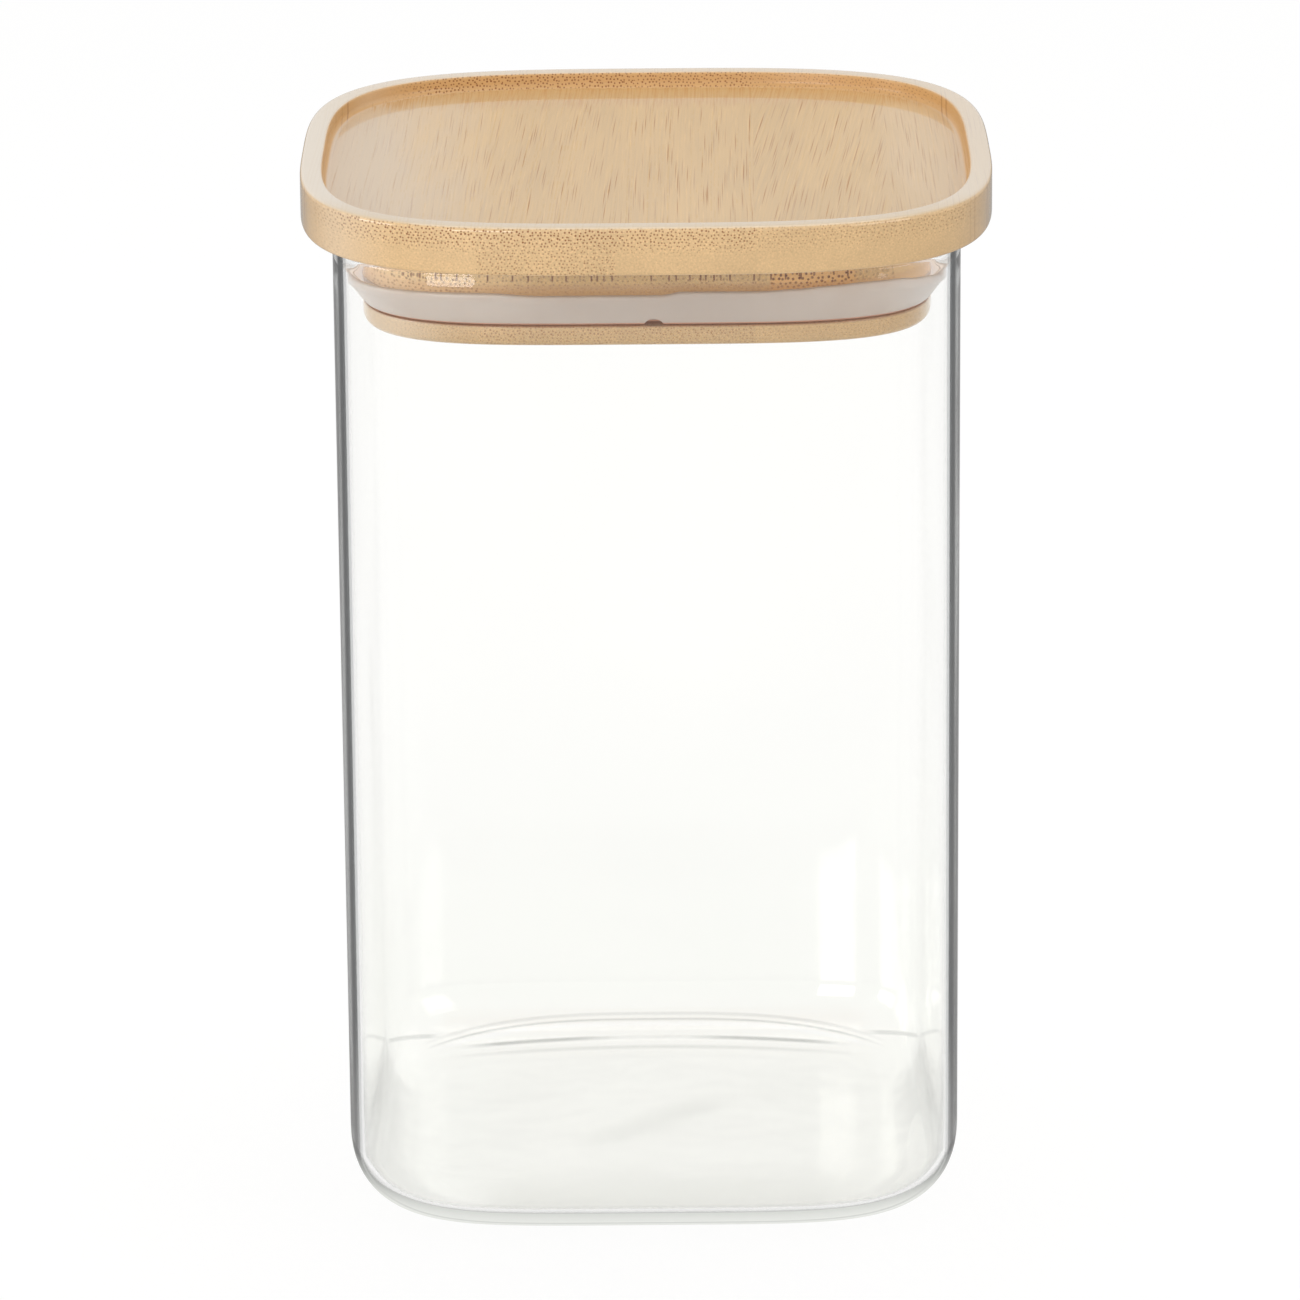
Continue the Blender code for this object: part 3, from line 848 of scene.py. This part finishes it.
# Studio
def make_stage():
    """A white floor, mostly glowing where it is looked at, which keeps a faint shadow."""
    mesh = bpy.data.meshes.new("floor")
    r = FLOOR_HALF
    mesh.from_pydata([(-r, -r, 0), (r, -r, 0), (r, r, 0), (-r, r, 0)], [], [(0, 1, 2, 3)])
    floor = bpy.data.objects.new("floor", mesh)
    floor.location.z = -FLOOR_DROP
    bpy.context.scene.collection.objects.link(floor)
    g = Graph("pale_floor")
    g.put(g.shader.inputs["Base Color"], (0.93, 0.93, 0.93, 1))
    g.shader.inputs["Roughness"].default_value = 0.9
    g.shader.inputs["Specular IOR Level"].default_value = 0.0
    path = g.node("ShaderNodeLightPath")
    passed, glossy = path.outputs["Is Transmission Ray"], path.outputs["Is Glossy Ray"]
    seen = g.most(path.outputs["Is Camera Ray"], g.most(glossy, passed))
    # A rough surface marks the rays that pass through it as glossy too
    mirrored = g.math("SUBTRACT", glossy, passed, clamp=True)
    strength = g.add(SEEN_PLAIN, g.times(passed, SEEN_THROUGH - SEEN_PLAIN))
    glow = g.node("ShaderNodeEmission")
    g.put(glow.inputs["Strength"], g.minus(strength, g.times(mirrored, 1 - MIRRORED_FLOOR)))
    g.put(g.output.inputs["Surface"], g.blend(g.times(seen, 0.85), g.shader, glow).outputs[0])
    mesh.materials.append(g.material)


def make_world():
    """White where the camera looks past the jar or through it, paler grey where a surface
    mirrors the room, and a soft level light on everything."""
    world = bpy.data.worlds.new("studio")
    bpy.context.scene.world = world
    world.use_nodes = True
    tree = world.node_tree
    tree.nodes.clear()

    def background(colour, strength):
        made = tree.nodes.new("ShaderNodeBackground")
        made.inputs[0].default_value = colour
        made.inputs[1].default_value = strength
        return made

    def blend(factor, first, second):
        made = tree.nodes.new("ShaderNodeMixShader")
        for socket, source in zip(made.inputs, (factor, first.outputs[0], second.outputs[0])):
            tree.links.new(source, socket)
        return made

    path = tree.nodes.new("ShaderNodeLightPath")
    looked = tree.nodes.new("ShaderNodeMath")
    looked.operation = "MAXIMUM"
    tree.links.new(path.outputs["Is Camera Ray"], looked.inputs[0])
    tree.links.new(path.outputs["Is Transmission Ray"], looked.inputs[1])
    lit = background((1.0, 0.985, 0.965, 1), LIT)
    mirrored = background((1, 1, 1, 1), MIRRORED)
    seen = background((1, 1, 1, 1), 1.0)
    room = blend(path.outputs["Is Glossy Ray"], lit, mirrored)
    out = tree.nodes.new("ShaderNodeOutputWorld")
    tree.links.new(blend(looked.outputs[0], room, seen).outputs[0], out.inputs["Surface"])


def lamp(name, place, aim, width, height, power, colour=(1, 1, 1), only_mirrored=False):
    data = bpy.data.lights.new(name, "AREA")
    data.shape = "RECTANGLE"
    data.size, data.size_y = width, height
    data.energy = power
    data.color = colour
    made = bpy.data.objects.new(name, data)
    made.visible_diffuse = not only_mirrored
    made.location = place
    made.rotation_euler = (Vector(aim) - Vector(place)).to_track_quat("-Z", "Y").to_euler()
    bpy.context.scene.collection.objects.link(made)


# The photograph's view, fitted to the outlines of lid, glass and plug
AZIMUTH, ELEVATION, ROLL = (math.radians(a) for a in (0.051, 17.262, -0.484))
DISTANCE = 1.190288
CENTRE_X = -0.000014
CENTRE_Z = 0.080922
FOCAL_PIXELS = 7626.729
FRAME_PIXELS = 1300
SENSOR = 36.0


def make_camera():
    """A long lens a little above the jar, rolled half a degree."""
    back = Vector((math.sin(AZIMUTH) * math.cos(ELEVATION), -math.cos(AZIMUTH) * math.cos(ELEVATION),
                   math.sin(ELEVATION)))
    right = Vector((math.cos(AZIMUTH), math.sin(AZIMUTH), 0))
    up = back.cross(right)
    rolled_right = right * math.cos(ROLL) + up * math.sin(ROLL)
    rolled_up = up * math.cos(ROLL) - right * math.sin(ROLL)
    data = bpy.data.cameras.new("camera")
    data.sensor_width = SENSOR
    data.lens = FOCAL_PIXELS / FRAME_PIXELS * SENSOR
    data.clip_start, data.clip_end = 0.05, 50
    camera = bpy.data.objects.new("camera", data)
    bpy.context.scene.collection.objects.link(camera)
    turn = Matrix((rolled_right, rolled_up, back)).transposed()
    stand = Vector((0, 0, CENTRE_Z)) + right * CENTRE_X + back * DISTANCE
    camera.matrix_world = Matrix.Translation(stand) @ turn.to_4x4()
    bpy.context.scene.camera = camera


# Everything put together
body_glass = make_glass()
board = make_board()
upper_ply = make_upper_ply()
lower_ply = make_lower_ply()
seal = make_seal()

body_glass.data.materials.append(glass("clear_glass", inner=False))
body_glass.data.materials.append(glass("clear_glass_inside", inner=True))
board.data.materials.append(bamboo(
    "bamboo_board", end_colour=(212, 177, 128), long_colour=(207, 168, 106), dot_colour=(128, 70, 16),
    top=BOARD_TOP, depth=6.2 * MM, cell=0.6 * MM,
    strips=((0.9, 0.45, 0.02), (1.0, 0.2, 0.02), (1.0, 0.7, 0.04), (0.9, 0.14, 0.015), (0.55, 0.1, 0.09),
            (0.5, 0.08, 0.0), (0.9, 0.4, 0.0)),
    seed=3.0, board=True, painted_light_left=0.3))
upper_ply.data.materials.append(bamboo(
    "bamboo_upper_ply", end_colour=(196, 158, 98), long_colour=(205, 168, 122), dot_colour=(104, 46, 2),
    top=PLUG_TOP, depth=9.0 * MM, cell=0.74 * MM,
    strips=((0.5, 0.5, 0.03), (0.7, 0.7, 0.03), (0.5, 0.4, 0.03), (0.5, 0.45, 0.03), (1.0, 0.95, 0.0),
            (0.3, 0.2, 0.03), (0.3, 0.2, 0.03)),
    seed=11.0, neck=True, painted_light_left=0.25, pale_from=-30 * MM))
lower_ply.data.materials.append(bamboo(
    "bamboo_lower_ply", end_colour=(190, 154, 104), long_colour=(214, 185, 145), dot_colour=(140, 92, 44),
    top=GROOVE_BOTTOM, depth=4.0 * MM, cell=0.58 * MM,
    strips=((0.3, 0.3, 0.03), (0.65, 0.55, 0.03), (0.9, 0.7, 0.03), (0.8, 0.6, 0.03), (0.5, 0.4, 0.0),
            (0.35, 0.3, 0.03), (0.1, 0.1, 0.03)),
    seed=23.0, painted_light_left=0.35, pale_from=-26 * MM, shaded_edge=GROOVE_BOTTOM))
seal.data.materials.append(silicone())

make_stage()
make_world()
WARM = (1.0, 0.985, 0.965)
WINDOW = ((-0.78, -2.05, 0.55), (0, 0, 0.15), 0.72, 0.75)
lamp("key", (-2.0, -0.6, 0.5), (0, 0, 0.12), 1.0, 0.8, 13.0, (1.0, 0.985, 0.96))
lamp("front", *WINDOW, 9.5, WARM)
lamp("glint", *WINDOW, 14.0, WARM, only_mirrored=True)
lamp("fill", (1.3, -1.0, 0.9), (0, 0, 0.1), 1.0, 1.0, 7.0)
lamp("top", (0.1, 0.3, 1.7), (0, 0, 0.15), 1.4, 1.2, 9.0)
make_camera()

scene = bpy.context.scene
scene.view_settings.view_transform = "Standard"
